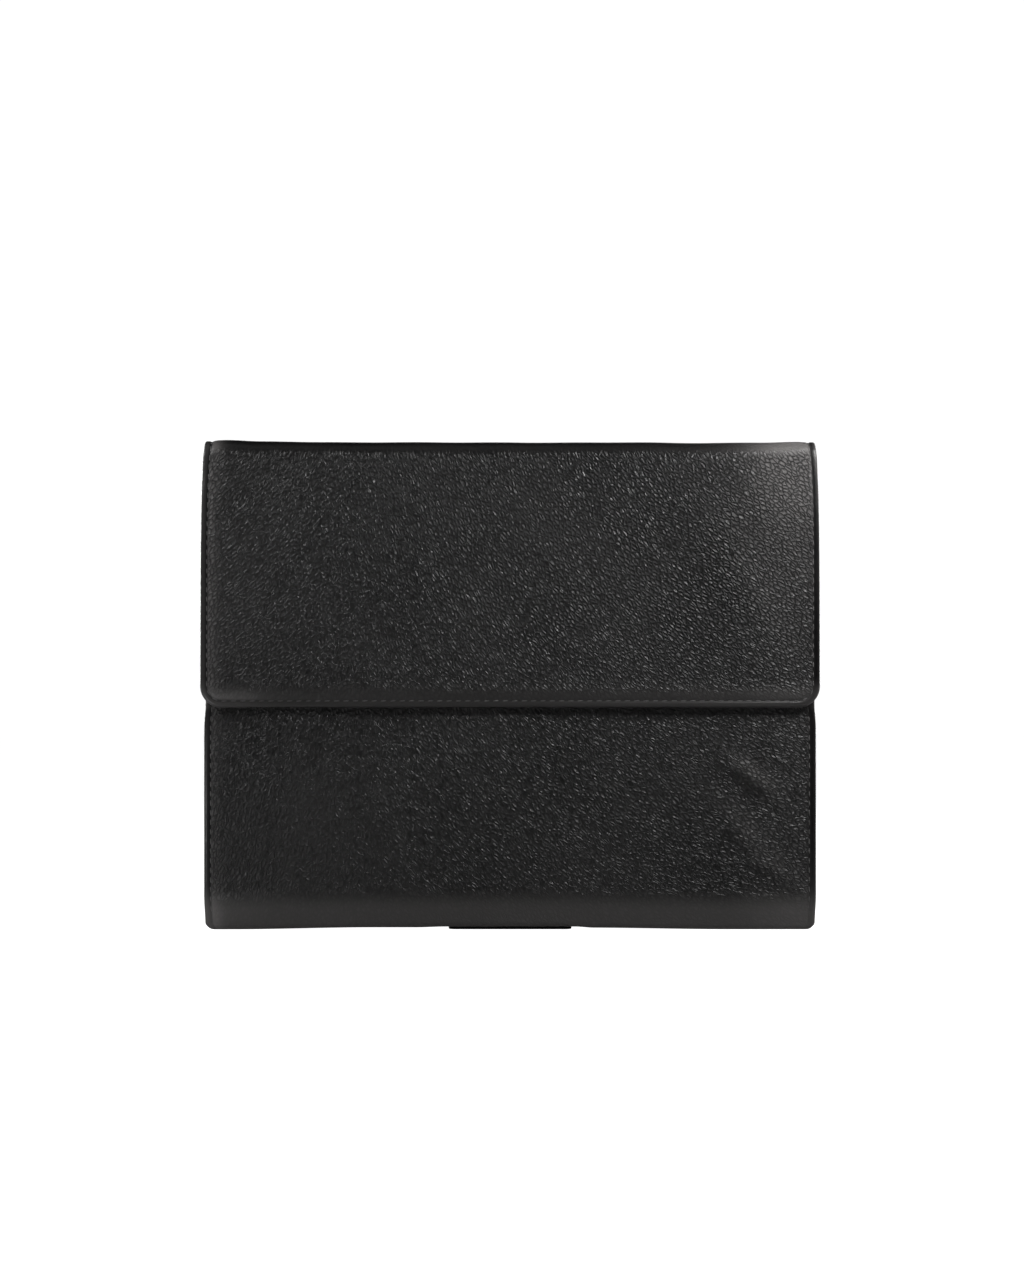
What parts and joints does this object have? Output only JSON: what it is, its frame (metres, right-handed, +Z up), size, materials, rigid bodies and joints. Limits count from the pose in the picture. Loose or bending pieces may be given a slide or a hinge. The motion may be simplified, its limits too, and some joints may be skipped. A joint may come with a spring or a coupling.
{
  "type": "tablet case",
  "caption": "Flap-over leather tablet case carried sideways, with a gusseted pocket, a hinged top fold and flap held by hidden magnets, and a hand strap on its back.",
  "frame": {"origin": "centre of the underside of the strap's tail, which the case stands on; Y = 0 is half way through the body's depth", "axes": "+X to the right seen from the front, +Y from the front towards the back, +Z up"},
  "size_m": [0.266, 0.0245, 0.2097],
  "materials": {
    "shell_leather": "pebbled, semi-gloss, dyed black",
    "fold_leather": "pebbled, semi-gloss, dyed black",
    "gusset_leather": "fine grain, matt, dyed black",
    "strap_leather": "pebbled, semi-gloss, dyed black",
    "strap_elastic": "woven elastic webbing, matt",
    "lining": "brushed microfibre, matt",
    "binding": "smooth, semi-gloss",
    "wadding": "needled wadding",
    "board": "grey board",
    "magnet": "nickel plated",
    "keeper": "zinc plated",
    "thread": "waxed polyester thread"
  },
  "bodies": {
    "case_body": {"back_leather": "shell_leather", "back_wadding": "wadding", "back_board": "board", "back_lining": "lining", "back_panel_thread": "thread", "base_board": "board", "base_lining": "lining", "left_gusset": "gusset_leather", "right_gusset": "gusset_leather", "slip_pocket": "lining", "slip_pocket_binding": "binding", "slip_pocket_thread": "thread", "strap_upper_anchor": "strap_leather", "strap_upper_span": "strap_leather", "strap_lower_span": "strap_leather", "strap_lower_anchor": "strap_leather", "strap_thread": "thread"},
    "front_panel": {"front_leather": "shell_leather", "front_wadding": "wadding", "front_board": "board", "front_lining": "lining", "front_panel_thread": "thread", "keeper_plates": "keeper"},
    "top_fold": {"top_fold_leather": "fold_leather", "top_fold_board": "board", "top_fold_lining": "lining"},
    "flap": {"flap_leather": "shell_leather", "flap_wadding": "wadding", "flap_board": "board", "flap_lining": "lining", "flap_magnets": "magnet", "flap_thread": "thread"},
    "hand_strap": {"strap_grip": "strap_leather", "strap_grip_elastic": "strap_elastic"}
  },
  "joints": [
    {"name": "top_crease", "type": "hinge", "parent": "case_body", "child": "top_fold", "pos_m": [0, 0.0071, 0.2078], "axis": [-1, 0, 0], "range_deg": [0, 175]},
    {"name": "flap_crease", "type": "hinge", "parent": "top_fold", "child": "flap", "pos_m": [0, -0.0111, 0.2078], "axis": [-1, 0, 0], "range_deg": [0, 175]},
    {"name": "front_panel_press", "type": "hinge", "parent": "case_body", "child": "front_panel", "pos_m": [0, -0.009, 0.0062], "axis": [-1, 0, 0], "range_deg": [0, 3], "stiffness_Nm_per_rad": 0.4, "deforming": ["left_gusset", "right_gusset"]},
    {"name": "strap_pull", "type": "slide", "parent": "case_body", "child": "hand_strap", "axis": [0, 1, 0], "range_m": [0, 0.018], "stiffness_N_per_m": 400, "deforming": ["strap_upper_span", "strap_lower_span"]}
  ]
}
